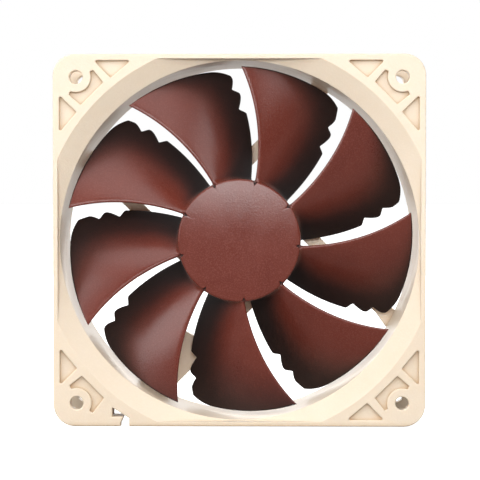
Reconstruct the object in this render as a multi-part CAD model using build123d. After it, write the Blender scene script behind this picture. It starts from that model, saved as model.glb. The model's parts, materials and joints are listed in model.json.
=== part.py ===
from build123d import *
import math
import os

# A 120 mm case fan: square frame with open corners and a nine-blade impeller on an outer-rotor
# motor. Each piece is laid out with the fan flat and its intake side up, and stood up at the end.
# Depths are counted back from the intake plane, and clock angles run clockwise from the top.

# Frame
frame_side = 120.0
frame_depth = 25.0
frame_corner_r = 7.0
flange_depth = 4.0
duct_outer_r = 60.6
edge_r = 0.35
screw_spacing = 105.0
screw_hole_r = 2.15

# Air passage through the frame
bell_mouth_r = 64.2
bell_mouth_depth = 3.0
bell_mouth_square = 117.0
throat_front_r = 58.15
throat_rear_r = 57.0
throat_rear_depth = 21.0
exhaust_r = 58.2

# Shallow pockets in the corners of both flanges
pocket_depth = 1.2
pocket_corner_r = 0.4
pocket_boss_r = 4.85

# Motor base and struts on the exhaust side
base_r = 19.9
base_recess_r = 18.6
base_front_depth = 21.0
base_floor_depth = 23.2
strut_count = 4
strut_inner = 14.7
strut_outer = 19.3
strut_root = 4.0
strut_reach = 57.6
strut_flare = 1.3
strut_flare_length = 7.6
boss_r = 5.6
boss_front_depth = 9.4
shoulder_r = 7.0
label_r = 18.0
label_t = 0.2
label_gap = 0.15

# Cable way: the wide strut, its groove, and the hooked slot in the corner
cable_strut_inner = 9.2
cable_strut_from_r = 36.0
cable_groove_depth = 22.4
cable_guide_depth = 8.0

# Impeller
blade_count = 9
tip_r = 56.2
hub_r = 19.9
hub_front_depth = 1.3
hub_rear_depth = 20.3
hub_skin = 1.4
hub_wall = 1.2
hub_edge_r = 0.8
hub_boss_r = 4.6
hub_boss_depth = 6.9
nick_depth = 0.8
blade_root_r = 19.3
nick_r = 18.4
blade_front_depth = 2.3
blade_rear_depth = 19.0
blade_edge_t = 0.9
blade_middle_t = 1.9
blade_curve = 0.35
blade_axis = 26.0
notch_stagger = 1.25

# Rotor inside the hub
yoke_t = 0.8
yoke_wall = 1.0
yoke_rear_depth = 19.3
magnet_wall = 1.8
magnet_front_depth = 8.5
magnet_rear_depth = 18.5

# Shaft and bearing
shaft_r = 1.5
shaft_rear_depth = 21.3
insert_r = 3.2
groove_r = 1.2
groove_front_depth = 20.8
groove_width = 0.3
retaining_ring_r = 2.4
retaining_ring_t = 0.2
bearing_clearance = 0.03
sleeve_front_depth = 9.6
sleeve_rear_depth = 20.6
housing_r = 4.2
housing_bore_r = 3.2
housing_front_depth = 8.8
housing_rear_depth = 23.9
thrust_pad_t = 0.5
bearing_magnet_bore_r = 0.8
bearing_magnet_t = 1.2

# Stator
pole_count = 4
air_gap = 0.6
sheet_count = 10
sheet_t = 0.5
stack_front_depth = 11.0
core_ring_r = 7.6
shoe_inner_r = 12.9
arm_width = 3.6
arm_start = 7.7
arm_end = 12.6
slot_opening = 3.0
insulator_t = 1.2
side_insulation = 0.6
guard_height = 2.0
guard_outer_r = 13.7
coil_start = 8.1
coil_end = 12.0
coil_wall = 1.9
coil_corner_r = 1.5
pin_r = 0.3
pin_circle_r = 13.4
pin_front_depth = 16.4
pin_rear_depth = 23.0

# Circuit board
board_r = 17.6
board_bore_r = 5.8
board_front_depth = 21.6
board_t = 1.0
board_pin_hole_r = 0.45

stack_rear_depth = stack_front_depth + sheet_count * sheet_t
stack_middle_depth = (stack_front_depth + stack_rear_depth) / 2
board_rear_depth = board_front_depth + board_t
yoke_r = hub_r - hub_wall
magnet_r = yoke_r - yoke_wall
stator_r = magnet_r - magnet_wall - air_gap
hub_inside_depth = hub_front_depth + hub_skin
label_recess_depth = frame_depth - label_t - label_gap


# ---- shapes that many pieces share ----

def level(depth):
    return frame_depth / 2 - depth


def disc(radius, front, rear):
    solid = Cylinder(radius, rear - front, align=(Align.CENTER, Align.CENTER, Align.MIN))
    return Pos(0, 0, level(rear)) * solid


def ring(outer, inner, front, rear):
    return disc(outer, front, rear) - disc(inner, front - 1, rear + 1)


def block(x_span, y_span, front, rear):
    centre = (sum(x_span) / 2, sum(y_span) / 2, level((front + rear) / 2))
    return Pos(*centre) * Box(x_span[1] - x_span[0], y_span[1] - y_span[0], rear - front)


def frustum(front_r, rear_r, front, rear):
    return Pos(0, 0, level((front + rear) / 2)) * Cone(rear_r, front_r, rear - front)


def plate(sketch, front, rear):
    return Pos(0, 0, level(rear)) * extrude(sketch, rear - front, dir=(0, 0, 1))


def turned(part, step, steps):
    """The part moved on clockwise by whole steps of a turn."""
    return Rot(0, 0, -360.0 * step / steps) * part


def clock(radius, angle):
    turn = math.radians(angle)
    return Vector(radius * math.sin(turn), radius * math.cos(turn))


# ---- frame ----

def side_pocket(along_top):
    """Triangle beside the top right corner, along its right side or its top."""
    points = [(57.9, 46.7), (52.4, 41.3), (57.9, 34.8)]
    if along_top:
        points = [(y, x) for x, y in points]
    outline = Polygon(*points, align=None)
    return fillet(outline.vertices(), pocket_corner_r)


def middle_pocket(tip):
    """Pocket that wraps the screw hole of the top right corner, from one tip to the other."""
    hole = screw_spacing / 2
    inward = [(1.7, 8.7), (8.85, 1.5), tip, (0, 0), (-2.25, 5.6)]
    outline = Polygon(*[(hole - x, hole - y) for x, y in inward], align=None)
    outline -= Pos(hole, hole) * Circle(pocket_boss_r)
    return fillet(outline.vertices(), pocket_corner_r)


def corner_pockets():
    """Pockets of all four corners. The bottom left corner has the cable slot in place of one."""
    outlines = []
    for corner in range(4):
        cable_corner = corner == 2
        tip = (5.1, -3.2) if cable_corner else (5.6, -2.25)
        outlines.append(turned(middle_pocket(tip), corner, 4))
        outlines.append(turned(side_pocket(False), corner, 4))
        if not cable_corner:
            outlines.append(turned(side_pocket(True), corner, 4))
    return outlines


def cable_slot():
    """Slot with a hooked finger, open to the bottom edge through a narrow gap."""
    points = [
        (-41.0, -54.0),
        (-35.5, -57.4),
        (-35.5, -60.5),
        (-38.4, -60.5),
        (-38.3, -59.0),
        (-37.4, -56.9),
        (-41.0, -56.9),
    ]
    return Polygon(*points, align=None)


def cable_notch():
    """Wide notch in the rear flange behind the cable slot."""
    points = [(-43.6, -53.0), (-34.8, -53.0), (-34.8, -61.0), (-43.6, -61.0)]
    return Polygon(*points, align=None)


def flange(cut_out, pocket_floor):
    """Rounded square plate with screw holes, one cut-out, and pockets above the given height."""
    outline = RectangleRounded(frame_side, frame_side, frame_corner_r)
    outline -= GridLocations(screw_spacing, screw_spacing, 2, 2) * Circle(screw_hole_r)
    solid = extrude(outline - cut_out, flange_depth)
    for pocket in corner_pockets():
        solid -= Pos(0, 0, pocket_floor) * extrude(pocket, pocket_depth, dir=(0, 0, 1))
    for height in (flange_depth, 0):
        rim = solid.faces().filter_by_position(Axis.Z, height, height)
        solid = fillet(rim.edges(), edge_r)
    return solid


def air_passage():
    """Bell mouth that the frame's sides clip, tapered throat, and flared exhaust."""
    over = 0.5
    half = bell_mouth_square / 2
    slope = (bell_mouth_r - throat_front_r) / bell_mouth_depth
    flare = (exhaust_r - throat_rear_r) / (frame_depth - throat_rear_depth)
    bell = frustum(bell_mouth_r + over * slope, throat_front_r, -over, bell_mouth_depth)
    bell &= block((-half, half), (-half, half), -1, bell_mouth_depth)
    throat = frustum(throat_front_r, throat_rear_r, bell_mouth_depth, throat_rear_depth)
    rear_r = exhaust_r + over * flare
    exhaust = frustum(throat_rear_r, rear_r, throat_rear_depth, frame_depth + over)
    return bell + throat + exhaust


def strut():
    """Straight strut that leaves the motor base at a tangent and widens where it meets the duct."""
    flare_start = strut_reach - strut_flare_length
    points = [
        (strut_root, strut_inner),
        (flare_start, strut_inner),
        (strut_reach, strut_inner - strut_flare),
        (strut_reach, strut_outer + strut_flare),
        (flare_start, strut_outer),
        (strut_root, strut_outer),
    ]
    return Rot(0, 0, 45) * Polygon(*points, align=None)


def cable_way(*spans):
    """Rectangles laid along the cable strut, each given by its two opposite corners."""
    outline = Sketch()
    for (start, inner), (end, outer) in spans:
        corners = [(start, inner), (end, inner), (end, outer), (start, outer)]
        outline += Rot(0, 0, 45) * Polygon(*corners, align=None)
    return turned(outline, 2, strut_count)


def struts():
    outline = Sketch()
    for step in range(strut_count):
        outline += turned(strut(), step, strut_count)
    wide = cable_way(((20.0, cable_strut_inner), (strut_reach, strut_inner + 1.0)))
    outline += wide - Circle(cable_strut_from_r)
    outline &= Circle(duct_outer_r - 1.0)
    return plate(outline, base_front_depth, frame_depth)


def cable_groove():
    """Groove in the rear of the cable strut, from the motor base out to the notch."""
    narrow = ((8.0, 15.6), (41.0, 18.4))
    wide = ((37.5, 10.6), (57.0, 18.4))
    outlet = ((56.0, 10.2), (65.0, 14.4))
    return plate(cable_way(narrow, wide, outlet), cable_groove_depth, frame_depth + 1)


def motor_base():
    base = disc(base_r, base_front_depth, frame_depth)
    base -= disc(base_recess_r, base_front_depth - 1, base_floor_depth)
    base += disc(shoulder_r, board_rear_depth, base_floor_depth)
    base += disc(boss_r, boss_front_depth, base_floor_depth + 0.5)
    return base


def cable_guide():
    """Thicker wall that lines the cable slot behind the front flange."""
    lining = block((-43.0, -34.0), (-59.0, -52.0), flange_depth - 0.5, cable_guide_depth)
    return lining - plate(cable_slot(), 0, cable_guide_depth + 1)


def make_frame():
    half = frame_side / 2
    duct = disc(duct_outer_r, flange_depth / 2, frame_depth - flange_depth / 2)
    duct &= block((-half, half), (-half, half), 0, frame_depth)
    front = Pos(0, 0, level(flange_depth)) * flange(cable_slot(), flange_depth - pocket_depth)
    rear = Pos(0, 0, level(frame_depth)) * flange(cable_notch(), 0)
    frame = duct + front + rear + cable_guide() - air_passage()
    frame += struts()
    frame -= disc(base_r - 0.5, base_front_depth - 1, frame_depth + 1)
    frame += motor_base()
    frame -= cable_groove()
    frame -= disc(housing_r, boss_front_depth - 1, housing_rear_depth)
    frame -= disc(label_r + label_gap, label_recess_depth, frame_depth + 1)
    return frame


# ---- impeller ----

def leading_angle(radius):
    reach = radius - hub_r
    return 15.4 - 0.33 * reach - 0.0021 * reach**2


def trailing_angle(radius):
    """Angle of the trailing edge before its notches are cut."""
    reach = radius - hub_r
    return 50.2 - 0.22 * reach - 0.0049 * reach**2


def notch(radius, start, drop, rise, fall):
    """How far one notch sets the edge back: steep on the hub side, gentle on the tip side."""
    reach = radius - start
    if reach <= 0 or reach >= rise + fall:
        return 0.0
    if reach < rise:
        step = reach / rise
        return drop * (3 * step**2 - 2 * step**3)
    return drop * (1 - (reach - rise) / fall) ** 1.3


def notched_angle(radius, stagger):
    first = notch(radius, 39.4 + stagger, 2.9, 1.35, 4.6)
    second = notch(radius, 46.0 + stagger, 2.3, 1.35, 3.6)
    return trailing_angle(radius) - first - second


def steps(low, high, count):
    return [low + (high - low) * step / count for step in range(count + 1)]


def blade_outline(stagger):
    """The blade as seen along the axis, with its notched trailing edge."""
    tip_end = 28.0
    corner_r = 54.4
    tip_start = leading_angle(tip_r)
    lead = [clock(r, leading_angle(r)) for r in steps(blade_root_r, tip_r, 6)]
    trail = [clock(r, notched_angle(r, stagger)) for r in steps(corner_r, 38.6, 36)]
    trail += [clock(r, trailing_angle(r)) for r in steps(37.0, blade_root_r, 5)]
    tip = [clock(tip_r, angle) for angle in steps(tip_start, tip_end, 2)]
    relief = [clock(tip_r, tip_end), clock(55.9, 31.5), clock(55.4, 34.2), clock(54.9, 36.3)]
    root_angles = (trailing_angle(blade_root_r), 33.0, leading_angle(blade_root_r))
    root = [clock(blade_root_r, angle) for angle in root_angles]
    edges = [
        Spline(*lead),
        ThreePointArc(*tip),
        Spline(*relief, trail[0]),
        Spline(*trail),
        ThreePointArc(*root),
    ]
    return make_face(edges)


def blade_place(span, reach):
    """Point on the middle surface, a share of the chord along, at a reach along the blade's axis."""
    low = -30.0
    high = 30.0
    for _ in range(30):
        side = (low + high) / 2
        radius = math.hypot(reach, side)
        angle = blade_axis + math.degrees(math.atan2(side, reach))
        front = leading_angle(radius)
        if (angle - front) / (trailing_angle(radius) - front) < span:
            low = side
        else:
            high = side
    rise = (1 - blade_curve) * span + blade_curve * span**2
    return side, level(blade_front_depth + (blade_rear_depth - blade_front_depth) * rise)


def blade_section(reach):
    """Closed aerofoil outline across the blade, a little longer than the chord at both ends."""
    front_side = []
    rear_side = []
    for span in steps(-0.12, 1.12, 10):
        before = blade_place(span - 0.02, reach)
        after = blade_place(span + 0.02, reach)
        side, height = blade_place(span, reach)
        run = math.hypot(after[0] - before[0], after[1] - before[1])
        across = (before[1] - after[1]) / run
        up = (after[0] - before[0]) / run
        belly = math.sin(math.pi * min(max(span, 0.0), 1.0))
        half = (blade_edge_t + (blade_middle_t - blade_edge_t) * belly) / 2
        front_side.append((side + across * half, height + up * half))
        rear_side.append((side - across * half, height - up * half))
    turn = math.radians(blade_axis)
    along = Vector(math.sin(turn), math.cos(turn), 0)
    sideways = Vector(math.cos(turn), -math.sin(turn), 0)
    place = lambda spot: along * reach + sideways * spot[0] + Vector(0, 0, spot[1])
    front_side = [place(spot) for spot in front_side]
    rear_side = [place(spot) for spot in rear_side]
    return Wire([
        Spline(*front_side),
        Line(front_side[-1], rear_side[-1]),
        Spline(*reversed(rear_side)),
        Line(rear_side[0], front_side[0]),
    ])


def blade(stagger, skin):
    prism = plate(blade_outline(stagger), 0, frame_depth)
    return skin & prism


def make_impeller():
    """Hub cup and blades in one moulding. The trailing notches shift out from blade to blade."""
    cup = disc(hub_r, hub_front_depth, hub_rear_depth)
    rim = cup.edges().filter_by(GeomType.CIRCLE).sort_by(Axis.Z)[-1]
    cup = fillet(rim, hub_edge_r)
    skin = Solid.make_loft([blade_section(reach) for reach in (16.0, 24.0, 33.0, 43.0, 51.0, 59.0)])
    kinds = [blade(notch_stagger * kind, skin) for kind in range(3)]
    nick = Polygon(
        clock(nick_r, leading_angle(hub_r)),
        clock(hub_r + 1, leading_angle(hub_r) - 2.5),
        clock(hub_r + 1, leading_angle(hub_r) + 2.5),
        align=None,
    )
    nick = plate(nick, hub_front_depth - 1, hub_front_depth + nick_depth)
    cup -= disc(yoke_r, hub_inside_depth, frame_depth)
    cup += ring(hub_boss_r, insert_r, hub_inside_depth - 0.2, hub_boss_depth)
    cup -= [turned(nick, step, blade_count) for step in range(blade_count)]
    return cup + [turned(kinds[step % 3], step, blade_count) for step in range(blade_count)]


# ---- rotor inside the hub ----

def make_rotor_yoke():
    """Deep-drawn steel cup with a hole for the hub's boss."""
    cup = disc(yoke_r, hub_inside_depth, yoke_rear_depth)
    cup -= disc(magnet_r, hub_inside_depth + yoke_t, yoke_rear_depth + 1)
    return cup - disc(hub_boss_r, 0, yoke_rear_depth)


def make_ring_magnet():
    return ring(magnet_r, magnet_r - magnet_wall, magnet_front_depth, magnet_rear_depth)


def make_shaft():
    """Shaft with a groove for the retaining ring and a rounded rear end."""
    shaft = disc(shaft_r, hub_inside_depth, shaft_rear_depth)
    groove_rear = groove_front_depth + groove_width
    shaft -= ring(shaft_r + 1, groove_r, groove_front_depth, groove_rear)
    return shaft


def make_shaft_insert():
    return ring(insert_r, shaft_r, hub_inside_depth, hub_boss_depth)


def make_retaining_ring():
    front = groove_front_depth + 0.05
    return ring(retaining_ring_r, groove_r, front, front + retaining_ring_t)


# ---- bearing ----

def make_bearing_housing():
    return ring(housing_r, housing_bore_r, housing_front_depth, housing_rear_depth)


def make_sleeve_bearing():
    bore = shaft_r + bearing_clearance
    return ring(housing_bore_r, bore, sleeve_front_depth, sleeve_rear_depth)


def make_oil_seal_ring():
    return ring(housing_bore_r, shaft_r + 0.2, housing_front_depth, sleeve_front_depth - 0.2)


def make_thrust_pad():
    front = shaft_rear_depth + 0.05
    return disc(housing_bore_r, front, front + thrust_pad_t)


def make_bearing_magnet():
    front = shaft_rear_depth + 0.05 + thrust_pad_t
    return ring(housing_bore_r, bearing_magnet_bore_r, front, front + bearing_magnet_t)


def make_bearing_end_cap():
    front = shaft_rear_depth + 0.05 + thrust_pad_t + bearing_magnet_t
    return disc(housing_bore_r, front, housing_rear_depth)


# ---- stator ----

def arms(width, start, end):
    outline = Sketch()
    for pole in range(pole_count):
        arm = Pos(0, (start + end) / 2) * Rectangle(width, end - start)
        outline += turned(arm, pole, pole_count)
    return outline


def slots():
    outline = Sketch()
    for pole in range(pole_count):
        opening = Pos(0, stator_r) * Rectangle(slot_opening, stator_r)
        outline += turned(opening, pole + 0.5, pole_count)
    return outline


def lamination_outline():
    shoes = Circle(stator_r) - Circle(shoe_inner_r) - slots()
    core = Circle(core_ring_r) - Circle(boss_r)
    return shoes + core + arms(arm_width, core_ring_r - 1, shoe_inner_r + 1)


def make_lamination(sheet):
    front = stack_front_depth + sheet * sheet_t
    return plate(lamination_outline(), front, front + sheet_t)


def insulator(face, end, middle):
    """Moulded bobbin half: face plate, walls that guard the coils, and skirts down the arms."""
    wide = arm_width + 2 * side_insulation
    guards = Circle(guard_outer_r) - Circle(shoe_inner_r) - slots()
    core = Circle(core_ring_r) - Circle(boss_r)
    flat = guards + core + arms(wide, core_ring_r - 1, shoe_inner_r + 0.3)
    walls = guards + (Circle(core_ring_r) - Circle(core_ring_r - 0.8))
    skirts = arms(wide, arm_start, arm_end) - arms(arm_width, arm_start - 1, arm_end + 1)
    low, high = sorted((face, face + end * insulator_t))
    half = plate(flat, low, high)
    low, high = sorted((face, face + end * (insulator_t + guard_height)))
    half += plate(walls, low, high)
    low, high = sorted((face, middle))
    return half + plate(skirts, low, high)


def make_upper_insulator():
    return insulator(stack_front_depth, -1, stack_middle_depth)


def make_lower_insulator():
    """Rear bobbin half, with the collar that stands on the board and the holes for the pins."""
    half = insulator(stack_rear_depth, 1, stack_middle_depth)
    half += ring(shoulder_r, boss_r, stack_rear_depth, board_front_depth)
    return half - pins(pin_r)


def make_coil(pole):
    """Winding around one arm, a rounded loop."""
    inner_x = arm_width / 2 + side_insulation
    front = stack_front_depth - insulator_t
    rear = stack_rear_depth + insulator_t
    outer_x = inner_x + coil_wall
    length = (coil_start, coil_end)
    loop = block((-outer_x, outer_x), length, front - coil_wall, rear + coil_wall)
    loop = fillet(loop.edges().filter_by(Axis.Y), coil_corner_r)
    loop -= block((-inner_x, inner_x), (0, stator_r), front, rear)
    return turned(loop, pole, pole_count)


def pins(radius):
    solids = []
    for pole in range(pole_count):
        pin = Pos(0, pin_circle_r, 0) * disc(radius, pin_front_depth, pin_rear_depth)
        solids.append(turned(pin, pole, pole_count))
    return solids


def make_terminal_pins():
    return Part() + pins(pin_r)


# ---- circuit board ----

def make_circuit_board():
    board = ring(board_r, board_bore_r, board_front_depth, board_rear_depth)
    return board - pins(board_pin_hole_r)


def chip(radius, angle, length, width, height):
    """Small package on the front of the board, its length along the radius."""
    body = block((-width / 2, width / 2), (radius - length / 2, radius + length / 2),
                 board_front_depth - height, board_front_depth)
    return Rot(0, 0, -angle) * body


def make_components():
    return {
        "hall_sensor": [chip(15.6, 45.0, 3.0, 4.0, 1.5)],
        "driver_chip": [chip(11.4, 135.0, 5.0, 6.0, 1.4)],
        "protection_diode": [chip(15.0, 225.0, 2.4, 4.0, 1.2)],
        "capacitors": [chip(16.0, angle, 1.25, 2.0, 1.1) for angle in (100.0, 170.0)],
        "resistors": [chip(10.5, angle, 2.0, 1.25, 0.5) for angle in (30.0, 60.0, 300.0, 330.0)],
    }


def make_rear_label():
    return disc(label_r, label_recess_depth, label_recess_depth + label_t)


# ---- all pieces ----

def all_pieces():
    pieces = {
        "frame": make_frame(),
        "impeller": make_impeller(),
        "rotor_yoke": make_rotor_yoke(),
        "ring_magnet": make_ring_magnet(),
        "shaft": make_shaft(),
        "shaft_insert": make_shaft_insert(),
        "retaining_ring": make_retaining_ring(),
        "bearing_housing": make_bearing_housing(),
        "sleeve_bearing": make_sleeve_bearing(),
        "oil_seal_ring": make_oil_seal_ring(),
        "thrust_pad": make_thrust_pad(),
        "bearing_magnet": make_bearing_magnet(),
        "bearing_end_cap": make_bearing_end_cap(),
        "upper_insulator": make_upper_insulator(),
        "lower_insulator": make_lower_insulator(),
        "terminal_pins": make_terminal_pins(),
        "circuit_board": make_circuit_board(),
        "rear_label": make_rear_label(),
    }
    for sheet in range(sheet_count):
        pieces[f"lamination_{sheet + 1:02d}"] = make_lamination(sheet)
    for pole in range(pole_count):
        pieces[f"coil_{pole + 1}"] = make_coil(pole)
    for name, bodies in make_components().items():
        pieces[name] = Part() + bodies
    return pieces


os.makedirs("parts", exist_ok=True)
for name, piece in all_pieces().items():
    export_step(Rot(90, 0, 0) * piece, f"parts/{name}.step")
    print(name, round(piece.volume, 1))
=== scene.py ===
import json
import bmesh
import bpy
import numpy as np
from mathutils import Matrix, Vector


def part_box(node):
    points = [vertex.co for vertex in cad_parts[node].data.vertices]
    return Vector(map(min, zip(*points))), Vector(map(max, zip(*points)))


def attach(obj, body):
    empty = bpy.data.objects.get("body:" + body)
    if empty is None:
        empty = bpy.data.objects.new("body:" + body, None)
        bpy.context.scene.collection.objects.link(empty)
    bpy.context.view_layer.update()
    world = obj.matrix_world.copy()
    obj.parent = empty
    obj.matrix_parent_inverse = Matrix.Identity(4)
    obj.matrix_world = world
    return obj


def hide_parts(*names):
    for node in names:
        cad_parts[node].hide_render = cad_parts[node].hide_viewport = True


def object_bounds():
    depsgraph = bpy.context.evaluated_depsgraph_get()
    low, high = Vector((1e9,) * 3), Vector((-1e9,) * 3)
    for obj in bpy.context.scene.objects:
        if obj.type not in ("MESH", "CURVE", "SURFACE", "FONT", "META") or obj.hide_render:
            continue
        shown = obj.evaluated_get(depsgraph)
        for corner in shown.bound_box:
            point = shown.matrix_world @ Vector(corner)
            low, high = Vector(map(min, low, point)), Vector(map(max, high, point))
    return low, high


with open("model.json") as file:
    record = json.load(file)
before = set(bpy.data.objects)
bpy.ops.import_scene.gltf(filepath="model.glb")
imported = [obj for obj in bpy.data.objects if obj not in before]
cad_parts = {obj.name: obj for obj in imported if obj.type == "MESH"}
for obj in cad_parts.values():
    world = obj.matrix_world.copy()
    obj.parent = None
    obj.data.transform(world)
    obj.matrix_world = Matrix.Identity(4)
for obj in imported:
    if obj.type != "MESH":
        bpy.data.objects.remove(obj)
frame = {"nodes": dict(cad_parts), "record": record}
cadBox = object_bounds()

print("frame loaded,", len(frame["nodes"]), "nodes")

cameraView = {
    "place": (0.0080, -0.5125, 0.0125),  # a little right of the rotor's axis and above it
    "aim": (0.0003, -0.0125, 0.0002),
    "lens": 116.6,
}


def makeCamera(view):
    data = bpy.data.cameras.new("camera")
    data.lens = view["lens"]
    camera = bpy.data.objects.new("camera", data)
    bpy.context.scene.collection.objects.link(camera)
    camera.location = view["place"]
    look = Vector(view["aim"]) - camera.location
    camera.rotation_euler = look.to_track_quat("-Z", "Y").to_euler()
    bpy.context.scene.camera = camera


makeCamera(cameraView)
print("camera placed")

studio = {
    "backdrop": 1.0,  # what the camera sees behind the fan
    "ambientAbove": 0.14,  # what lights the fan from above and from below
    "ambientBelow": 0.20,
    "ambientSpan": (-0.6, 0.9),  # how high a direction points where one turns into the other
    "ambientGloss": 0.10,  # how much of those two its gloss picks up
    "ambientBehind": 0.80,  # what the backdrop adds from behind
    "behindSpan": (0.0, 0.5),
    # softboxes: place, width, height and power in watts
    "card": ((-0.02, -0.90, 0.27), 0.80, 0.26, 5.6),  # the bright patch on the hub's crown
    "overhead": ((-0.25, -0.50, 0.85), 2.10, 0.55, 8.2),
    "left": ((-0.80, -0.45, 0.30), 0.50, 0.60, 3.6),
    "right": ((0.75, -0.50, 0.45), 0.45, 0.45, 1.9),
    "rear": ((0.00, 0.95, 0.25), 0.90, 0.60, 3.6),
    "floorTone": 0.80,
    "floorRoughness": 0.9,
    "floorGlow": 0.92,
    "floorBounce": 0.30,  # the paper's tone as the fan sees it
    "floorGlowSpan": (0.05, 0.40),  # metres behind the fan over which it starts to light the fan
    "floorGap": 0.0002,
    "floorSize": 60.0,
}


# adds a node and sets its properties, then its sockets: a socket is linked, the rest are values
def addNode(tree, kind, sockets=None, **properties):
    node = tree.nodes.new(kind)
    for name, value in properties.items():
        setattr(node, name, value)
    for name, value in (sockets or {}).items():
        if isinstance(value, bpy.types.NodeSocket):
            tree.links.new(value, node.inputs[name])
        else:
            node.inputs[name].default_value = value
    return node


def mathOf(tree, operation, first, second):
    return addNode(tree, "ShaderNodeMath", {0: first, 1: second}, operation=operation).outputs[0]


# straight line between two pairs of values, held level beyond them
def rangeOf(tree, value, low, high, lowResult=0.0, highResult=1.0):
    sockets = {0: value, 1: low, 2: high, 3: lowResult, 4: highResult}
    return addNode(tree, "ShaderNodeMapRange", sockets).outputs[0]


def mixOf(tree, share, first, second):
    node = addNode(tree, "ShaderNodeMix", data_type="RGBA")
    for index, value in ((0, share), (6, first), (7, second)):
        if isinstance(value, bpy.types.NodeSocket):
            tree.links.new(value, node.inputs[index])
        else:
            node.inputs[index].default_value = (*value, 1.0)
    return node.outputs[2]


# one light for what the camera sees, another, strongest from behind, for what lights the fan
def makeWorld(values):
    world = bpy.data.worlds.new("studio")
    bpy.context.scene.world = world
    world.use_nodes = True
    tree = world.node_tree
    tree.nodes.clear()
    white = (1.0, 1.0, 1.0, 1.0)
    direction = tree.nodes.new("ShaderNodeTexCoord").outputs["Generated"]
    way = addNode(tree, "ShaderNodeSeparateXYZ", {0: direction}).outputs
    ray = tree.nodes.new("ShaderNodeLightPath").outputs
    ambient = rangeOf(tree, way["Z"], *values["ambientSpan"],
                      values["ambientBelow"], values["ambientAbove"])
    gloss = rangeOf(tree, ray["Is Glossy Ray"], 0.0, 1.0, 1.0, values["ambientGloss"])
    ambient = mathOf(tree, "MULTIPLY", ambient, gloss)
    behind = rangeOf(tree, way["Y"], *values["behindSpan"], 0.0, values["ambientBehind"])
    ambient = mathOf(tree, "ADD", ambient, behind)
    lit = addNode(tree, "ShaderNodeBackground", {"Color": white, "Strength": ambient}).outputs[0]
    backdrop = {"Color": white, "Strength": values["backdrop"]}
    seen = addNode(tree, "ShaderNodeBackground", backdrop).outputs[0]
    mix = addNode(tree, "ShaderNodeMixShader", {0: ray["Is Camera Ray"], 1: lit, 2: seen})
    addNode(tree, "ShaderNodeOutputWorld", {"Surface": mix.outputs[0]})


# a light turned to the middle of the fan
def makeSoftbox(name, place, width, height, power):
    data = bpy.data.lights.new(name, "AREA")
    data.shape = "RECTANGLE"
    data.size = width
    data.size_y = height
    data.energy = power
    lamp = bpy.data.objects.new(name, data)
    bpy.context.scene.collection.objects.link(lamp)
    lamp.visible_camera = False
    lamp.location = place
    lamp.rotation_euler = (-Vector(place)).to_track_quat("-Z", "Y").to_euler()


# glowing paper to the camera; to the fan, a darker paper that shines only behind it
def makeFloor(values):
    half = values["floorSize"] / 2
    height = cadBox[0][2] - values["floorGap"]
    mesh = bpy.data.meshes.new("floor")
    corners = [(-half, -half, height), (half, -half, height),
               (half, half, height), (-half, half, height)]
    mesh.from_pydata(corners, [], [(0, 1, 2, 3)])
    floor = bpy.data.objects.new("floor", mesh)
    bpy.context.scene.collection.objects.link(floor)
    paper = bpy.data.materials.new("floorPaper")
    paper.use_nodes = True
    tree = paper.node_tree
    seen = tree.nodes["Principled BSDF"]
    seen.inputs["Base Color"].default_value = (*[values["floorTone"]] * 3, 1.0)
    seen.inputs["Roughness"].default_value = values["floorRoughness"]
    seen.inputs["Emission Color"].default_value = (1.0, 1.0, 1.0, 1.0)
    seen.inputs["Emission Strength"].default_value = values["floorGlow"]
    tone = (*[values["floorBounce"]] * 3, 1.0)
    bounce = addNode(tree, "ShaderNodeBsdfDiffuse", {"Color": tone}).outputs[0]
    place = tree.nodes.new("ShaderNodeTexCoord").outputs["Object"]
    depth = addNode(tree, "ShaderNodeSeparateXYZ", {0: place}).outputs["Y"]
    behind = rangeOf(tree, depth, *values["floorGlowSpan"], 0.0, values["ambientBehind"])
    glow = addNode(tree, "ShaderNodeEmission", {"Strength": behind}).outputs[0]
    paperLight = addNode(tree, "ShaderNodeAddShader", {0: bounce, 1: glow}).outputs[0]
    ray = tree.nodes.new("ShaderNodeLightPath").outputs["Is Camera Ray"]
    mix = addNode(tree, "ShaderNodeMixShader", {0: ray, 1: paperLight, 2: seen.outputs[0]})
    tree.links.new(mix.outputs[0], tree.nodes["Material Output"].inputs["Surface"])
    mesh.materials.append(paper)


bpy.context.scene.view_settings.view_transform = "Standard"
makeWorld(studio)
for box in ("card", "overhead", "left", "right", "rear"):
    makeSoftbox(box + "Softbox", *studio[box])
makeFloor(studio)
print("studio lit")


# faces of a grid of rows and columns, wrapped round where a side is closed
def gridFaces(rows, columns, wrapRows=False, wrapColumns=False):
    rowNumbers = np.arange(rows if wrapRows else rows - 1)
    columnNumbers = np.arange(columns if wrapColumns else columns - 1)
    i, j = np.meshgrid(rowNumbers, columnNumbers, indexing="ij")
    nextRow = (i + 1) % rows
    nextColumn = (j + 1) % columns
    quads = [i * columns + j, nextRow * columns + j,
             nextRow * columns + nextColumn, i * columns + nextColumn]
    return np.stack(quads, axis=-1).reshape(-1, 4)


meshing = {
    "joinDistance": 2e-6,
    "smallestEdge": 1e-6,
    "sharpAngle": 0.9,  # radians
}


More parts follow.
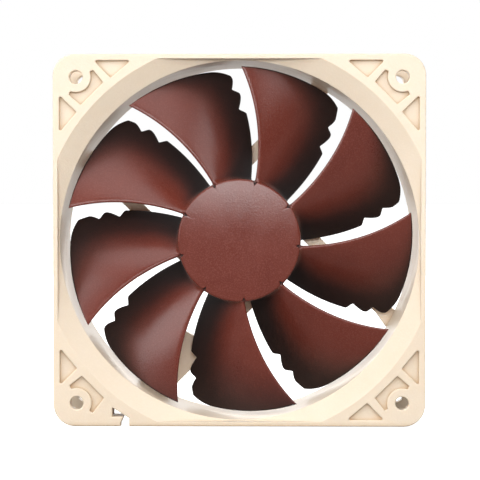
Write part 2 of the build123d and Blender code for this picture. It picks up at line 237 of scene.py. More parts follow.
# one smooth, closed object from a list of (points, faces), points in millimetres
def makePiece(name, parts, values):
    points = np.concatenate([p.reshape(-1, 3) for p, _ in parts]) / 1000.0
    starts = np.cumsum([0] + [p.size // 3 for p, _ in parts[:-1]])
    faces = np.concatenate([f + start for (_, f), start in zip(parts, starts)])
    mesh = bpy.data.meshes.new(name)
    mesh.from_pydata(points.tolist(), [], faces.tolist())
    shape = bmesh.new()
    shape.from_mesh(mesh)
    bmesh.ops.remove_doubles(shape, verts=shape.verts, dist=values["joinDistance"])
    bmesh.ops.dissolve_degenerate(shape, edges=shape.edges, dist=values["smallestEdge"])
    bmesh.ops.recalc_face_normals(shape, faces=shape.faces)
    shape.to_mesh(mesh)
    shape.free()
    mesh.polygons.foreach_set("use_smooth", np.ones(len(mesh.polygons), bool))
    mesh.set_sharp_from_angle(angle=values["sharpAngle"])
    piece = bpy.data.objects.new(name, mesh)
    bpy.context.scene.collection.objects.link(piece)
    return piece


# row-frame point of a place given by radius, clock angle in degrees and depth behind the intake
def clockPoints(radius, angle, depth):
    turn = np.radians(angle)
    return np.stack([radius * np.sin(turn), depth + intakePlane, radius * np.cos(turn)], axis=-1)


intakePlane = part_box("frame")[0][1] * 1000.0
impellerLow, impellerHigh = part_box("impeller")
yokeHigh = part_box("rotor_yoke")[1]

impellerShape = {
    "blades": 9,
    "tipRadius": impellerHigh[0] * 1000.0,
    "hubRadius": yokeHigh[0] * 1000.0 + 1.2,
    "rootOverlap": 0.8,  # how far a blade runs into the hub's wall
    "leadDepth": 2.3,  # middle of the blade at its two ends, behind the intake plane
    "trailDepth": 19.0,
    "bend": 0.35,  # how much steeper the blade gets towards its trailing edge
    # the two long edges: degrees at the hub, and how fast and how much faster they sweep back
    "leadCurve": (15.4, 0.33, 0.0021),
    "trailCurve": (50.2, 0.22, 0.0049),
    "rootHalfThickness": 1.05,
    "tipHalfThickness": 0.62,
    "edgeShare": 0.55,  # thickness at the two edges, as a share of the middle's
    "fullness": 0.7,  # the lower, the further the middle's thickness reaches
    "noseRadius": 0.9,
    "rootFillet": 0.8,
    "notchStarts": (39.4, 46.0),
    "notchDrops": (2.9, 2.3),  # degrees
    "notchFalls": (4.6, 3.6),
    "notchRise": 1.35,
    "stagger": 1.25,  # how far the notches move out from one blade to the next
    "staggers": 3,
    "cornerRadius": 54.4,
    "cornerBend": 0.45,
    "tipEndAngle": 28.0,
    # rows of the mesh: plain ones up to the notches, closer ones over them, then the tip's edge
    "notchedFrom": 38.0,
    "innerRows": 34,
    "outerRows": 66,
    "tipRows": 8,
    "tipRowStart": 0.15,
    "noseColumns": 5,
    "middleColumns": 30,
}


def edgeAngle(radius, curve, shape):
    reach = radius - shape["hubRadius"]
    start, slope, bend = curve
    return start - slope * reach - bend * reach**2


# a notch drops by a smooth step on its hub side and comes back slowly on its tip side
def notchDrop(radius, start, drop, rise, fall):
    reach = radius - start
    step = np.clip(reach / rise, 0.0, 1.0)
    back = np.clip(1.0 - (reach - rise) / fall, 0.0, 1.0)
    return drop * step**2 * (3.0 - 2.0 * step) * back**1.3


# where the blade ends: the trailing edge less its notches, cut off by a curve near the tip
def endAngle(radius, kind, shape):
    angle = edgeAngle(radius, shape["trailCurve"], shape)
    for start, drop, fall in zip(shape["notchStarts"], shape["notchDrops"], shape["notchFalls"]):
        outward = start + kind * shape["stagger"]
        angle = angle - notchDrop(radius, outward, drop, shape["notchRise"], fall)
    corner = shape["cornerRadius"]
    span = edgeAngle(corner, shape["trailCurve"], shape) - shape["tipEndAngle"]
    left = np.clip((shape["tipRadius"] - radius) / (shape["tipRadius"] - corner), 0.0, 1.0)
    relief = shape["tipEndAngle"] + span * left ** shape["cornerBend"]
    return np.minimum(angle, np.where(left < 1.0, relief, 360.0))


# share of full thickness at a distance from an edge that is a half circle of the given radius
def roundedEdge(distance, radius):
    inward = np.clip(distance / radius, 0.0, 1.0)
    return np.sqrt(1.0 - (1.0 - inward) ** 2)


# radii of a blade's rows, as a column
def bladeRows(shape, lip):
    tip = shape["tipRadius"]
    root = shape["hubRadius"] - shape["rootOverlap"]
    inner = np.linspace(root, shape["notchedFrom"], shape["innerRows"])
    outer = np.linspace(shape["notchedFrom"], tip - 2.0 * lip, shape["outerRows"])[1:]
    turn = np.linspace(shape["tipRowStart"], 1.0, shape["tipRows"]) * np.pi / 2
    edge = tip - lip * 2.0 + lip * 2.0 * np.sin(turn)
    return np.concatenate([inner, outer, edge])[:, None]


# half thickness: thinner outwards and towards both long edges, thicker in the fillet at the hub,
# and rounded off at every edge
def bladeHalf(rows, share, span, chord, lip, shape):
    tip = shape["tipRadius"]
    out = np.clip((rows - shape["hubRadius"]) / (tip - shape["hubRadius"]), 0, 1)
    half = shape["rootHalfThickness"]
    half = half + (shape["tipHalfThickness"] - shape["rootHalfThickness"]) * out
    swell = np.sin(np.pi * np.clip(span, 0, 1)) ** shape["fullness"]
    half = half * (shape["edgeShare"] + (1.0 - shape["edgeShare"]) * swell)
    radius = shape["rootFillet"]
    reach = np.clip(rows - shape["hubRadius"], 0.0, radius)
    fillet = radius - np.sqrt(radius**2 - (radius - reach) ** 2)
    edge = np.minimum(share, 1.0 - share) * chord
    half = (half + fillet) * roundedEdge(edge, shape["noseRadius"])
    half = half * roundedEdge(tip - rows, 2.0 * lip)
    half[0] = 0.0
    half[-1] = 0.0
    return half


# blade: rows run out along the radius and columns along the chord, once for each side, and both
# sides stand off the middle surface by the half thickness
def bladeGrid(kind, shape):
    lip = shape["tipHalfThickness"] * shape["edgeShare"]
    rows = bladeRows(shape, lip)
    lead = edgeAngle(rows, shape["leadCurve"], shape)
    trail = edgeAngle(rows, shape["trailCurve"], shape)
    end = endAngle(rows, kind, shape)
    rise = shape["trailDepth"] - shape["leadDepth"]
    chord = np.hypot(np.radians(end - lead) * rows, rise * (end - lead) / (trail - lead))
    rounding = 1.0 - np.cos(np.linspace(0.0, np.pi / 2, shape["noseColumns"]))
    nose = shape["noseRadius"] * rounding[None, :] / chord
    middle = np.linspace(0.0, 1.0, shape["middleColumns"])[None, 1:-1]
    middle = nose[:, -1:] + middle * (1.0 - 2.0 * nose[:, -1:])
    share = np.concatenate([nose, middle, 1.0 - nose[:, ::-1]], axis=1)
    angle = lead + (end - lead) * share
    span = (angle - lead) / (trail - lead)
    bend = shape["bend"]
    depth = shape["leadDepth"] + rise * ((1.0 - bend) * span + bend * span**2)
    surface = clockPoints(np.broadcast_to(rows, angle.shape), angle, depth)
    normal = np.cross(np.gradient(surface, axis=0), np.gradient(surface, axis=1))
    normal /= np.linalg.norm(normal, axis=-1, keepdims=True)
    normal *= np.where(normal[..., 1:2] > 0.0, -1.0, 1.0)
    offset = normal * bladeHalf(rows, share, span, chord, lip, shape)[..., None]
    return np.concatenate([surface + offset, (surface - offset)[:, -2:0:-1]], axis=1)


hubShape = {
    "front": impellerLow[1] * 1000.0,
    "rear": impellerHigh[1] * 1000.0,
    "skin": 1.4,
    "wall": 1.2,
    "edge": 0.8,
    "crown": 1.10,  # the front face stands up slightly at its middle
    "boss": 4.6,
    "bossBore": 3.2,
    "bossRear": 6.9,
    "skirtDepths": (6.0, 12.0),  # rows of the mesh along the outside of the wall
    "outerChamfer": 0.25,
    "innerChamfer": 0.2,
    "cornerChamfer": 0.4,
    "faceRows": 16,
    "edgeRows": 8,
    "nickInnerRadius": 18.4,
    "nickHalfAngle": 2.4,  # degrees
    "nickDepth": 0.85,
    "nickFloor": 0.05,
    "nickReach": 3.0,  # degrees each side of a nick where the mesh is finer
    "nearColumns": 13,
    "farColumns": 14,
}


# the cup's outline as rows of radius and depth, from the middle of its face round to its inside
def hubProfile(shape, radius):
    front = shape["front"] - intakePlane
    rear = shape["rear"] - intakePlane
    inside = front + shape["skin"]
    floor = front + shape["nickDepth"]
    flat = radius - shape["edge"]
    bore = radius - shape["wall"]
    outer, inner, corner = shape["outerChamfer"], shape["innerChamfer"], shape["cornerChamfer"]
    face = np.linspace(0.0, flat, shape["faceRows"])
    crown = shape["crown"] * (1.0 - (face / flat) ** 2)
    bend = np.linspace(0.0, np.pi / 2, shape["edgeRows"])[1:]
    edgeRadii = flat + shape["edge"] * np.sin(bend)
    edgeDepths = front + shape["edge"] * (1 - np.cos(bend))
    skirt = [floor, floor + shape["nickFloor"], inside, *shape["skirtDepths"], rear - outer]
    inward = [(radius - outer, rear), (bore + inner, rear), (bore, rear - inner),
              (bore, inside + corner), (bore - corner, inside), (shape["boss"], inside),
              (shape["boss"], shape["bossRear"]), (shape["bossBore"], shape["bossRear"]),
              (shape["bossBore"], inside), (0.0, inside)]
    return np.concatenate([
        np.stack([face, front - crown], axis=1),
        np.stack([edgeRadii, edgeDepths], axis=1),
        np.stack([np.full(len(skirt), radius), skirt], axis=1),
        np.array(inward),
    ]), floor


# hub: the profile turned about the axis, with a vee pressed into its rim at each blade
def hubGrid(shape, blades):
    radius = blades["hubRadius"]
    profile, floor = hubProfile(shape, radius)
    step = 360.0 / blades["blades"]
    near = np.linspace(-shape["nickReach"], shape["nickReach"], shape["nearColumns"])
    far = np.linspace(shape["nickReach"], step - shape["nickReach"], shape["farColumns"])[1:-1]
    start = edgeAngle(radius, blades["leadCurve"], blades)
    turns = np.arange(blades["blades"])[:, None] * step
    angle = start + (turns + np.concatenate([near, far])[None, :]).ravel()
    off = (angle - start + step / 2) % step - step / 2
    inner = shape["nickInnerRadius"]
    limit = inner + np.abs(off) / shape["nickHalfAngle"] * (radius - inner)
    reach = np.broadcast_to(profile[None, :, 0], (angle.size, len(profile)))
    depth = np.broadcast_to(profile[None, :, 1], reach.shape)
    pressed = (depth < floor + shape["nickFloor"] / 2) & (reach > inner)
    reach = np.where(pressed, np.minimum(reach, limit[:, None]), reach)
    return clockPoints(reach, angle[:, None], depth)


def makeImpeller(blades, hub):
    parts = []
    for number in range(blades["blades"]):
        grid = bladeGrid(number % blades["staggers"], blades)
        turn = np.radians(360.0 / blades["blades"] * number)
        spun = grid.copy()
        spun[..., 0] = grid[..., 0] * np.cos(turn) + grid[..., 2] * np.sin(turn)
        spun[..., 2] = grid[..., 2] * np.cos(turn) - grid[..., 0] * np.sin(turn)
        parts.append((spun, gridFaces(*grid.shape[:2], wrapColumns=True)))
    grid = hubGrid(hub, blades)
    parts.append((grid, gridFaces(*grid.shape[:2], wrapRows=True)))
    piece = makePiece("impellerMoulding", parts, meshing)
    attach(piece, "rotor")
    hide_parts("impeller")
    return piece


impeller = makeImpeller(impellerShape, hubShape)
print("impeller made,", len(impeller.data.polygons), "faces")

coilShape = {
    "wire": 0.30,  # millimetres
    "turns": 13,
    "wall": 1.9,
    "corner": 1.6,
    "slack": 0.03,  # how unevenly the turns lie
    "cornerSteps": 8,
    "wireSteps": 6,
}


# path: points round a rectangle with quarter circles at its corners, and the way out at each
def roundedRectangle(halfWidth, halfHeight, corner, perCorner):
    turn = np.linspace(0.0, np.pi / 2, perCorner)
    turns = (turn[None, :] + np.arange(4)[:, None] * np.pi / 2).ravel()
    outward = np.stack([np.cos(turns), np.sin(turns)], axis=-1)
    signs = np.repeat(np.array([(1, 1), (-1, 1), (-1, -1), (1, -1)]), perCorner, axis=0)
    centre = signs * np.array([halfWidth - corner, halfHeight - corner])
    return centre + corner * outward, outward


# winding: a row of half circles, one for each turn of wire, carried round the pole on its outer
# side, with a plain inner wall against the bobbin
def makeCoil(number, shape):
    low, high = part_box("coil_%d" % number)
    low, high = np.array(low) * 1000.0, np.array(high) * 1000.0
    along = 2 if number % 2 else 0
    wide = 2 - along
    half = (high - low) / 2
    middle = (high + low) / 2
    path, outward = roundedRectangle(half[wide], half[1], shape["corner"], shape["cornerSteps"])
    arc = np.linspace(0.0, np.pi, shape["wireSteps"])[None, :-1]
    pitch = (high[along] - low[along]) / shape["turns"]
    turns = np.arange(shape["turns"])[:, None]
    radius = shape["wire"] / 2
    reach = (low[along] + pitch * (turns + 0.5 - 0.5 * np.cos(arc))).ravel()
    ridge = (radius * (np.sin(arc) - 1.0) - shape["slack"] * (turns % 3)).ravel()
    reach = np.concatenate([reach, [high[along], high[along], low[along]]])
    ridge = np.concatenate([ridge, [-radius, -shape["wall"], -shape["wall"]]])
    grid = np.empty((len(path), len(reach), 3))
    grid[..., along] = reach[None, :]
    grid[..., wide] = middle[wide] + path[:, None, 0] + outward[:, None, 0] * ridge[None, :]
    grid[..., 1] = middle[1] + path[:, None, 1] + outward[:, None, 1] * ridge[None, :]
    faces = gridFaces(*grid.shape[:2], wrapRows=True, wrapColumns=True)
    piece = makePiece("windingTurns_%d" % number, [(grid, faces)], meshing)
    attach(piece, "housing")
    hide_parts("coil_%d" % number)
    return piece


coils = [makeCoil(number, coilShape) for number in (1, 2, 3, 4)]
print("windings made")


def newGroup(name, inputs, outputs):
    tree = bpy.data.node_groups.new(name, "ShaderNodeTree")
    for label, value in inputs.items():
        socket = tree.interface.new_socket(label, in_out="INPUT", socket_type="NodeSocketFloat")
        socket.default_value = value
    for label in outputs:
        kind = "NodeSocketVector" if label == "Normal" else "NodeSocketFloat"
        tree.interface.new_socket(label, in_out="OUTPUT", socket_type=kind)
    return tree, tree.nodes.new("NodeGroupInput").outputs, tree.nodes.new("NodeGroupOutput").inputs


def useGroup(tree, group, sockets):
    node = tree.nodes.new("ShaderNodeGroup")
    node.node_tree = group
    for name, value in sockets.items():
        node.inputs[name].default_value = value
    return node.outputs


def objectPlace(tree):
    return tree.nodes.new("ShaderNodeTexCoord").outputs["Object"]


def noiseOf(tree, place, scale, detail, distortion=0.0):
    sockets = {"Vector": place, "Scale": scale, "Detail": detail, "Distortion": distortion}
    return addNode(tree, "ShaderNodeTexNoise", sockets).outputs[0]


def scaledOf(tree, value, share):
    return mathOf(tree, "MULTIPLY", value, share)


def addedOf(tree, first, second, share):
    return mathOf(tree, "ADD", first, scaledOf(tree, second, share))


# distance from the rotor's axis, in metres
def axisDistance(tree, place):
    sockets = {0: place, 1: (1.0, 0.0, 1.0)}
    flat = addNode(tree, "ShaderNodeVectorMath", sockets, operation="MULTIPLY").outputs[0]
    length = addNode(tree, "ShaderNodeVectorMath", {0: flat}, operation="LENGTH")
    return length.outputs["Value"]


# what the shared effects have in common wherever they are used: noise details, and the pairs of
# values between which a mask goes from nothing to full
effects = {
    "grainDetail": 1.5,
    "coarseScale": 0.36,  # scale of the coarser grain, as a share of the fine one's
    "coarseDetail": 2.0,
    "speckle": (0.48, 0.66),
    "flowDetail": 3.0,
    "flowDistortion": 1.2,
    "flow": (0.32, 0.68),
    "edge": (0.995, 0.86),  # cosine between the rounded normal and the true one
    "edgeSamples": 4,
    "patchScale": 400.0,
    "patchDetail": 3.0,
    "patches": (0.35, 0.65),
    "lineDetail": 2.0,
    "deepSamples": 8,
    "paintedShade": (0.82, 0.46),  # share of open sky at which the painted shade starts and at which it is full
    "rearward": (0.2, -0.1),
    "streakTurn": (0.0, 0.6, 0.0),
    "streakStretch": (0.033, 1.0, 1.0),
    "streakDetail": 4.0,
    "scratch": (0.60, 0.68),
    "pitScale": 0.4,
    "pitDetail": 2.0,
    "pit": (0.40, 0.33),
    "mottleScale": 180.0,
    "mottleDetail": 4.0,
    "mottle": (0.3, 0.7),
}


# skin of a spark-eroded mould: a fine and a coarser noise added, and the higher grains as a speckle
def makeMouldGrain(values):
    inputs = {"Scale": 2400.0, "Coarse": 0.4}
    tree, entry, leave = newGroup("mouldGrain", inputs, ("Height", "Speckle"))
    place = objectPlace(tree)
    fine = noiseOf(tree, place, entry["Scale"], values["grainDetail"])
    coarseScale = scaledOf(tree, entry["Scale"], values["coarseScale"])
    coarse = noiseOf(tree, place, coarseScale, values["coarseDetail"])
    tree.links.new(addedOf(tree, fine, coarse, entry["Coarse"]), leave["Height"])
    tree.links.new(rangeOf(tree, fine, *values["speckle"]), leave["Speckle"])
    return tree


# slow change of shade where the melt flowed: noise pulled out of shape by its own distortion
def makeFlowShade(values):
    tree, entry, leave = newGroup("flowShade", {"Scale": 40.0}, ("Shade",))
    detail, distortion = values["flowDetail"], values["flowDistortion"]
    slow = noiseOf(tree, objectPlace(tree), entry["Scale"], detail, distortion)
    tree.links.new(rangeOf(tree, slow, *values["flow"]), leave["Shade"])
    return tree


# edges: where the normal rounded over a small radius leaves the true one, broken up by noise
def makeEdgeWear(values):
    tree, entry, leave = newGroup("edgeWear", {"Radius": 0.0003}, ("Edge", "Normal"))
    bevel = addNode(tree, "ShaderNodeBevel", {"Radius": entry["Radius"]},
                    samples=values["edgeSamples"])
    rounded = bevel.outputs[0]
    true = tree.nodes.new("ShaderNodeNewGeometry").outputs["Normal"]
    same = addNode(tree, "ShaderNodeVectorMath", {0: rounded, 1: true}, operation="DOT_PRODUCT")
    bare = rangeOf(tree, same.outputs["Value"], *values["edge"])
    patches = noiseOf(tree, objectPlace(tree), values["patchScale"], values["patchDetail"])
    patches = rangeOf(tree, patches, *values["patches"])
    tree.links.new(mathOf(tree, "MULTIPLY", bare, patches), leave["Edge"])
    tree.links.new(rounded, leave["Normal"])
    return tree


# lathe lines: one-dimensional noise along radius plus depth, so they ring faces and barrels alike
def makeTurnedLines(values):
    tree, entry, leave = newGroup("turnedLines", {"Spacing": 0.00008}, ("Height",))
    place = objectPlace(tree)
    depth = addNode(tree, "ShaderNodeSeparateXYZ", {0: place}).outputs["Y"]
    reach = mathOf(tree, "ADD", axisDistance(tree, place), depth)
    reach = mathOf(tree, "DIVIDE", reach, entry["Spacing"])
    sockets = {"W": reach, "Scale": 1.0, "Detail": values["lineDetail"]}
    line = addNode(tree, "ShaderNodeTexNoise", sockets, noise_dimensions="1D")
    tree.links.new(line.outputs[0], leave["Height"])
    return tree


# painted shade of deep places: how much of the sky a point's neighbours hide, as a mask that
# darkens the base colour, times a share for faces that look to the rear
def makePaintedDeepShade(values):
    tree, entry, leave = newGroup("paintedDeepShade", {"Reach": 0.012, "Rear": 1.0}, ("Shade",))
    clear = addNode(tree, "ShaderNodeAmbientOcclusion", {"Distance": entry["Reach"]},
                    samples=values["deepSamples"]).outputs["AO"]
    normal = tree.nodes.new("ShaderNodeNewGeometry").outputs["Normal"]
    facing = addNode(tree, "ShaderNodeSeparateXYZ", {0: normal}).outputs["Y"]
    share = rangeOf(tree, facing, *values["rearward"], entry["Rear"], 1.0)
    hidden = rangeOf(tree, clear, *values["paintedShade"])
    tree.links.new(mathOf(tree, "MULTIPLY", hidden, share), leave["Shade"])
    return tree


# rolling streaks: noise drawn out along one direction, and its sharpest crests as scratches
def makeStreaks(values):
    tree, entry, leave = newGroup("streaks", {"Scale": 900.0}, ("Height", "Scratch"))
    sockets = {"Vector": objectPlace(tree), "Rotation": values["streakTurn"],
               "Scale": values["streakStretch"]}
    turned = addNode(tree, "ShaderNodeMapping", sockets).outputs[0]
    streak = noiseOf(tree, turned, entry["Scale"], values["streakDetail"])
    tree.links.new(streak, leave["Height"])
    tree.links.new(rangeOf(tree, streak, *values["scratch"]), leave["Scratch"])
    return tree


# grains pressed together: the distance to the middle of each cell, with pits where a noise is low
def makePressedGrain(values):
    tree, entry, leave = newGroup("pressedGrain", {"Scale": 3000.0}, ("Height", "Pit", "Shade"))
    place = objectPlace(tree)
    cell = addNode(tree, "ShaderNodeTexVoronoi", {"Vector": place, "Scale": entry["Scale"]})
    pitScale = scaledOf(tree, entry["Scale"], values["pitScale"])
    pit = rangeOf(tree, noiseOf(tree, place, pitScale, values["pitDetail"]), *values["pit"])
    height = mathOf(tree, "SUBTRACT", cell.outputs["Distance"], pit)
    mottle = noiseOf(tree, place, values["mottleScale"], values["mottleDetail"])
    tree.links.new(height, leave["Height"])
    tree.links.new(pit, leave["Pit"])
    tree.links.new(rangeOf(tree, mottle, *values["mottle"]), leave["Shade"])
    return tree


mouldGrain = makeMouldGrain(effects)
flowShade = makeFlowShade(effects)
edgeWear = makeEdgeWear(effects)
paintedDeepShade = makePaintedDeepShade(effects)
turnedLines = makeTurnedLines(effects)
streaks = makeStreaks(effects)
pressedGrain = makePressedGrain(effects)
print("shared effects made")


def newMaterial(name, values):
    material = bpy.data.materials.new(name)
    material.use_nodes = True
    tree = material.node_tree
    shader = tree.nodes["Principled BSDF"]
    shader.inputs["Metallic"].default_value = values.get("metallic", 0.0)
    shader.inputs["Specular IOR Level"].default_value = values.get("specular", 0.5)
    shader.inputs["Subsurface Weight"].default_value = values.get("translucence", 0.0)
    shader.inputs["Subsurface Radius"].default_value = (1.0, 0.85, 0.65)
    shader.inputs["Subsurface Scale"].default_value = values.get("depthOfLight", 0.001)
    shader.inputs["Coat Weight"].default_value = values.get("coat", 0.0)
    shader.inputs["Coat Roughness"].default_value = values.get("coatRoughness", 0.2)
    return material, tree, shader


def finishSurface(tree, shader, colour, roughness, height, depth, normal):
    tree.links.new(colour, shader.inputs["Base Color"])
    tree.links.new(roughness, shader.inputs["Roughness"])
    sockets = {"Height": height, "Strength": 1.0, "Distance": depth, "Normal": normal}
    bump = addNode(tree, "ShaderNodeBump", sockets)
    tree.links.new(bump.outputs[0], shader.inputs["Normal"])


# half the flow's shade and half the relief, which together set how dull a place is
def polishOf(tree, shade, height):
    return addedOf(tree, scaledOf(tree, shade, 0.5), height, 0.5)


# moulded plastic: two close shades mixed by the flow of the melt, lighter grains and worn edges,
# and, where they are asked for, painted shade in deep places, which are also made duller
def plasticFinish(name, values):
    material, tree, shader = newMaterial(name, values)
    grainSockets = {"Scale": values["grainScale"], "Coarse": values["coarse"]}
    grain = useGroup(tree, mouldGrain, grainSockets)
    flow = useGroup(tree, flowShade, {"Scale": values["flowScale"]})
    edge = useGroup(tree, edgeWear, {"Radius": values["edgeRadius"]})
    speckle = scaledOf(tree, grain["Speckle"], values["speckle"])
    worn = scaledOf(tree, edge["Edge"], values["wear"])
    colour = mixOf(tree, flow["Shade"], values["dark"], values["light"])
    colour = mixOf(tree, speckle, colour, values["worn"])
    colour = mixOf(tree, worn, colour, values["worn"])
    polish = polishOf(tree, flow["Shade"], grain["Height"])
    roughness = rangeOf(tree, polish, 0.1, 0.9, *values["roughness"])
    if "paintedShade" in values:
        deepSockets = {"Reach": values["deepReach"], "Rear": values["deepRear"]}
        # painted shade: base colour pulled towards the painted shade colour where neighbours hide
        # the sky; the same places are also made duller
        shade = useGroup(tree, paintedDeepShade, deepSockets)["Shade"]
        colour = mixOf(tree, shade, colour, values["paintedShade"])
        roughness = addedOf(tree, roughness, shade, values["deepDulling"])
    finishSurface(tree, shader, colour, roughness, grain["Height"], values["grainDepth"],
                  edge["Normal"])
    return material


# metal: lathe lines round the axis or streaks along the sheet, bright edges, uneven polish
def metalFinish(name, values):
    material, tree, shader = newMaterial(name, {"metallic": 1.0, **values})
    flow = useGroup(tree, flowShade, {"Scale": values["flowScale"]})
    edge = useGroup(tree, edgeWear, {"Radius": values["edgeRadius"]})
    if values["turned"]:
        height = useGroup(tree, turnedLines, {"Spacing": values["spacing"]})["Height"]
        mark = rangeOf(tree, height, 0.60, 0.72)
    else:
        streak = useGroup(tree, streaks, {"Scale": 1.0 / values["spacing"]})
        height, mark = streak["Height"], streak["Scratch"]
    colour = mixOf(tree, flow["Shade"], values["dark"], values["light"])
    colour = mixOf(tree, scaledOf(tree, mark, 0.35), colour, values["bright"])
    colour = mixOf(tree, edge["Edge"], colour, values["bright"])
    polish = polishOf(tree, flow["Shade"], height)
    roughness = rangeOf(tree, polish, 0.2, 0.8, *values["roughness"])
    finishSurface(tree, shader, colour, roughness, height, values["depth"], edge["Normal"])
    return material


# pressed or fired powder: grains, open pits darker than the rest, slow mottling
def powderFinish(name, values):
    material, tree, shader = newMaterial(name, values)
    powder = useGroup(tree, pressedGrain, {"Scale": values["grainScale"]})
    edge = useGroup(tree, edgeWear, {"Radius": values["edgeRadius"]})
    colour = mixOf(tree, powder["Shade"], values["dark"], values["light"])
    colour = mixOf(tree, scaledOf(tree, powder["Pit"], 0.8), colour, values["pit"])
    colour = mixOf(tree, scaledOf(tree, edge["Edge"], 0.5), colour, values["light"])
    roughness = rangeOf(tree, powder["Shade"], 0.0, 1.0, *values["roughness"])
    finishSurface(tree, shader, colour, roughness, powder["Height"], values["depth"],
                  edge["Normal"])
    return material


# solder resist over glass cloth: copper rings under it stand out lighter, and the cloth prints
# through as a fine check
def boardFinish(name, values):
    material, tree, shader = newMaterial(name, values)
    place = objectPlace(tree)
    flow = useGroup(tree, flowShade, {"Scale": values["flowScale"]})
    edge = useGroup(tree, edgeWear, {"Radius": values["edgeRadius"]})
    pitch = values["trackPitch"]
    ring = mathOf(tree, "ADD", axisDistance(tree, place), values["trackStart"])
    ring = mathOf(tree, "PINGPONG", ring, pitch)
    track = rangeOf(tree, ring, pitch * 0.50, pitch * 0.56)
    breaks = rangeOf(tree, noiseOf(tree, place, values["breakScale"], 0.0), 0.47, 0.49)
    track = mathOf(tree, "MULTIPLY", track, breaks)
    cloth = addNode(tree, "ShaderNodeTexChecker", {"Vector": place, "Scale": values["clothScale"]})
    colour = mixOf(tree, flow["Shade"], values["dark"], values["light"])
    colour = mixOf(tree, track, colour, values["track"])
    colour = mixOf(tree, scaledOf(tree, edge["Edge"], 0.7), colour, values["core"])
    roughness = rangeOf(tree, flow["Shade"], 0.0, 1.0, *values["roughness"])
    height = addedOf(tree, track, cloth.outputs["Fac"], 0.15)
    finishSurface(tree, shader, colour, roughness, height, values["depth"], edge["Normal"])
    return material


# enamelled wire: the varnish pools along each turn, and the copper shows redder there
def wireFinish(name, values):
    material, tree, shader = newMaterial(name, {"metallic": 1.0, **values})
    flow = useGroup(tree, flowShade, {"Scale": values["flowScale"]})
    edge = useGroup(tree, edgeWear, {"Radius": values["edgeRadius"]})
    pool = noiseOf(tree, objectPlace(tree), values["poolScale"], 3.0)
    pool = rangeOf(tree, pool, 0.35, 0.65)
    colour = mixOf(tree, flow["Shade"], values["dark"], values["light"])
    colour = mixOf(tree, scaledOf(tree, pool, 0.4), colour, values["varnish"])
    roughness = rangeOf(tree, pool, 0.0, 1.0, *values["roughness"])
    finishSurface(tree, shader, colour, roughness, pool, values["depth"], edge["Normal"])
    return material


finishes = {}

finishes["frame_plastic"] = plasticFinish("creamFramePlastic", {
    "light": (0.780, 0.660, 0.520),
    "dark": (0.750, 0.626, 0.485),
    "worn": (0.880, 0.780, 0.650),
    "roughness": (0.26, 0.46),
    "specular": 0.5,
    "translucence": 0.25,
    "depthOfLight": 0.002,
    # painted shade: tan put in pockets and corners where close neighbours hide the sky
    "paintedShade": (0.600, 0.440, 0.280),
    "deepReach": 0.0028,
    "deepRear": 1.0,
    "deepDulling": 0.05,
    "grainScale": 1700.0,
    "coarse": 0.7,
    "grainDepth": 0.000045,
    "flowScale": 26.0,
    "speckle": 0.10,
    "edgeRadius": 0.00030,
    "wear": 0.35,
})

finishes["impeller_plastic"] = plasticFinish("redBrownImpellerPlastic", {
    "light": (0.146, 0.029, 0.018),
    "dark": (0.122, 0.022, 0.013),
    "worn": (0.300, 0.100, 0.075),
    "roughness": (0.17, 0.27),
    "specular": 0.45,
    "grainScale": 2400.0,
    "coarse": 0.12,
    "grainDepth": 0.000034,
    "flowScale": 45.0,
    "speckle": 0.16,
    "edgeRadius": 0.00025,
    "wear": 0.06,
    # painted shade: near-black put on the blades where the neighbouring blade and the hub hide the
    # sky, a quarter as much on faces that look to the rear
    "paintedShade": (0.012, 0.002, 0.001),
    "deepReach": 0.030,
    "deepRear": 0.25,
    "deepDulling": 0.45,
})

finishes["white_plastic"] = plasticFinish("bobbinNylon", {
    "light": (0.80, 0.78, 0.71),
    "dark": (0.72, 0.69, 0.61),
    "worn": (0.90, 0.89, 0.85),
    "roughness": (0.38, 0.55),
    "grainScale": 3000.0,
    "coarse": 0.5,
    "grainDepth": 0.000025,
    "flowScale": 160.0,
    "speckle": 0.10,
    "edgeRadius": 0.00015,
    "wear": 0.4,
})

finishes["chip_plastic"] = plasticFinish("chipEpoxy", {
    "light": (0.035, 0.035, 0.038),
    "dark": (0.020, 0.020, 0.022),
    "worn": (0.120, 0.120, 0.125),
    "roughness": (0.45, 0.65),
    "grainScale": 6000.0,
    "coarse": 0.3,
    "grainDepth": 0.000015,
    "flowScale": 500.0,
    "speckle": 0.25,
    "edgeRadius": 0.00008,
    "wear": 0.5,
})

finishes["seal_rubber"] = plasticFinish("sealRubber", {
    "light": (0.030, 0.029, 0.028),
    "dark": (0.018, 0.018, 0.017),
    "worn": (0.080, 0.078, 0.075),
    "roughness": (0.60, 0.85),
    "grainScale": 4000.0,
    "coarse": 0.8,
    "grainDepth": 0.000020,
    "flowScale": 300.0,
    "speckle": 0.15,
    "edgeRadius": 0.0001,
    "wear": 0.3,
})

finishes["yoke_steel"] = metalFinish("platedYokeSteel", {
    "light": (0.60, 0.59, 0.56),
    "dark": (0.46, 0.46, 0.44),
    "bright": (0.78, 0.78, 0.76),
    "roughness": (0.26, 0.46),
    "turned": True,
    "spacing": 0.00022,
    "depth": 0.000012,
    "flowScale": 140.0,
    "edgeRadius": 0.0003,
})

finishes["shaft_steel"] = metalFinish("groundShaftSteel", {
    "light": (0.70, 0.70, 0.70),
    "dark": (0.60, 0.60, 0.61),
    "bright": (0.88, 0.88, 0.88),
    "roughness": (0.12, 0.24),
    "turned": True,
    "spacing": 0.00004,
    "depth": 0.000003,
    "flowScale": 300.0,
    "edgeRadius": 0.0001,
})

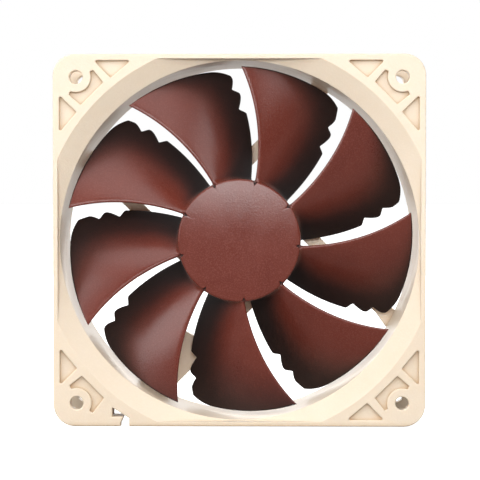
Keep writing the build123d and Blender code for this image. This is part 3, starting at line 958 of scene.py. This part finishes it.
finishes["spring_steel"] = metalFinish("bluedSpringSteel", {
    "light": (0.22, 0.24, 0.32),
    "dark": (0.14, 0.14, 0.19),
    "bright": (0.55, 0.55, 0.58),
    "roughness": (0.24, 0.40),
    "turned": False,
    "spacing": 0.0006,
    "depth": 0.000004,
    "flowScale": 600.0,
    "edgeRadius": 0.00006,
})

finishes["brass"] = metalFinish("turnedBrass", {
    "light": (0.72, 0.50, 0.20),
    "dark": (0.56, 0.36, 0.13),
    "bright": (0.90, 0.72, 0.38),
    "roughness": (0.20, 0.36),
    "turned": True,
    "spacing": 0.00010,
    "depth": 0.000008,
    "flowScale": 260.0,
    "edgeRadius": 0.00015,
})

finishes["tinned_pins"] = metalFinish("tinnedPins", {
    "light": (0.74, 0.73, 0.70),
    "dark": (0.60, 0.59, 0.57),
    "bright": (0.88, 0.87, 0.85),
    "roughness": (0.22, 0.42),
    "turned": False,
    "spacing": 0.0008,
    "depth": 0.000008,
    "flowScale": 700.0,
    "edgeRadius": 0.00005,
})

finishes["electrical_steel"] = metalFinish("stampedCoreSteel", {
    "light": (0.34, 0.35, 0.38),
    "dark": (0.22, 0.23, 0.26),
    "bright": (0.66, 0.66, 0.66),
    "roughness": (0.34, 0.54),
    "turned": False,
    "spacing": 0.0009,
    "depth": 0.000006,
    "flowScale": 240.0,
    "edgeRadius": 0.00012,
})

finishes["foil_label"] = metalFinish("labelFoil", {
    "light": (0.60, 0.59, 0.565),
    "dark": (0.56, 0.55, 0.53),
    "bright": (0.70, 0.69, 0.67),
    "roughness": (0.32, 0.42),
    "turned": False,
    "spacing": 0.0005,
    "depth": 0.000010,
    "flowScale": 90.0,
    "edgeRadius": 0.0001,
    "coat": 0.3,
})

finishes["sintered_bronze"] = powderFinish("sinteredBronze", {
    "metallic": 1.0,
    "light": (0.50, 0.34, 0.17),
    "dark": (0.34, 0.22, 0.10),
    "pit": (0.08, 0.05, 0.03),
    "roughness": (0.32, 0.52),
    "grainScale": 4500.0,
    "depth": 0.000030,
    "edgeRadius": 0.00012,
})

finishes["ferrite"] = powderFinish("pressedFerrite", {
    "light": (0.060, 0.058, 0.056),
    "dark": (0.030, 0.029, 0.029),
    "pit": (0.012, 0.012, 0.012),
    "roughness": (0.48, 0.72),
    "grainScale": 3500.0,
    "depth": 0.000035,
    "edgeRadius": 0.00015,
})

finishes["ceramic"] = powderFinish("firedCeramic", {
    "light": (0.42, 0.32, 0.21),
    "dark": (0.30, 0.22, 0.14),
    "pit": (0.16, 0.12, 0.08),
    "roughness": (0.34, 0.50),
    "grainScale": 7000.0,
    "depth": 0.000010,
    "edgeRadius": 0.00006,
})

finishes["board"] = boardFinish("greenBoard", {
    "light": (0.020, 0.130, 0.052),
    "dark": (0.014, 0.095, 0.036),
    "track": (0.045, 0.215, 0.085),
    "core": (0.420, 0.400, 0.240),
    "roughness": (0.22, 0.36),
    "flowScale": 120.0,
    "trackPitch": 0.0011,
    "trackStart": 0.0002,
    "breakScale": 160.0,  # of the gaps in the rings
    "clothScale": 2400.0,
    "depth": 0.000030,
    "edgeRadius": 0.0001,
    "coat": 0.4,
})

finishes["copper_wire"] = wireFinish("enamelledCopper", {
    "light": (0.62, 0.25, 0.10),
    "dark": (0.46, 0.15, 0.055),
    "varnish": (0.34, 0.09, 0.03),
    "roughness": (0.18, 0.38),
    "flowScale": 500.0,
    "poolScale": 900.0,
    "depth": 0.000010,
    "edgeRadius": 0.00008,
    "coat": 0.6,
    "coatRoughness": 0.12,
})


def dress(piece, material):
    piece.data.materials.clear()
    piece.data.materials.append(material)


for entry in frame["record"]["subparts"]:
    dress(frame["nodes"][entry["node"]], finishes[entry["material_slot"]])
dress(impeller, finishes["impeller_plastic"])
for coil in coils:
    dress(coil, finishes["copper_wire"])
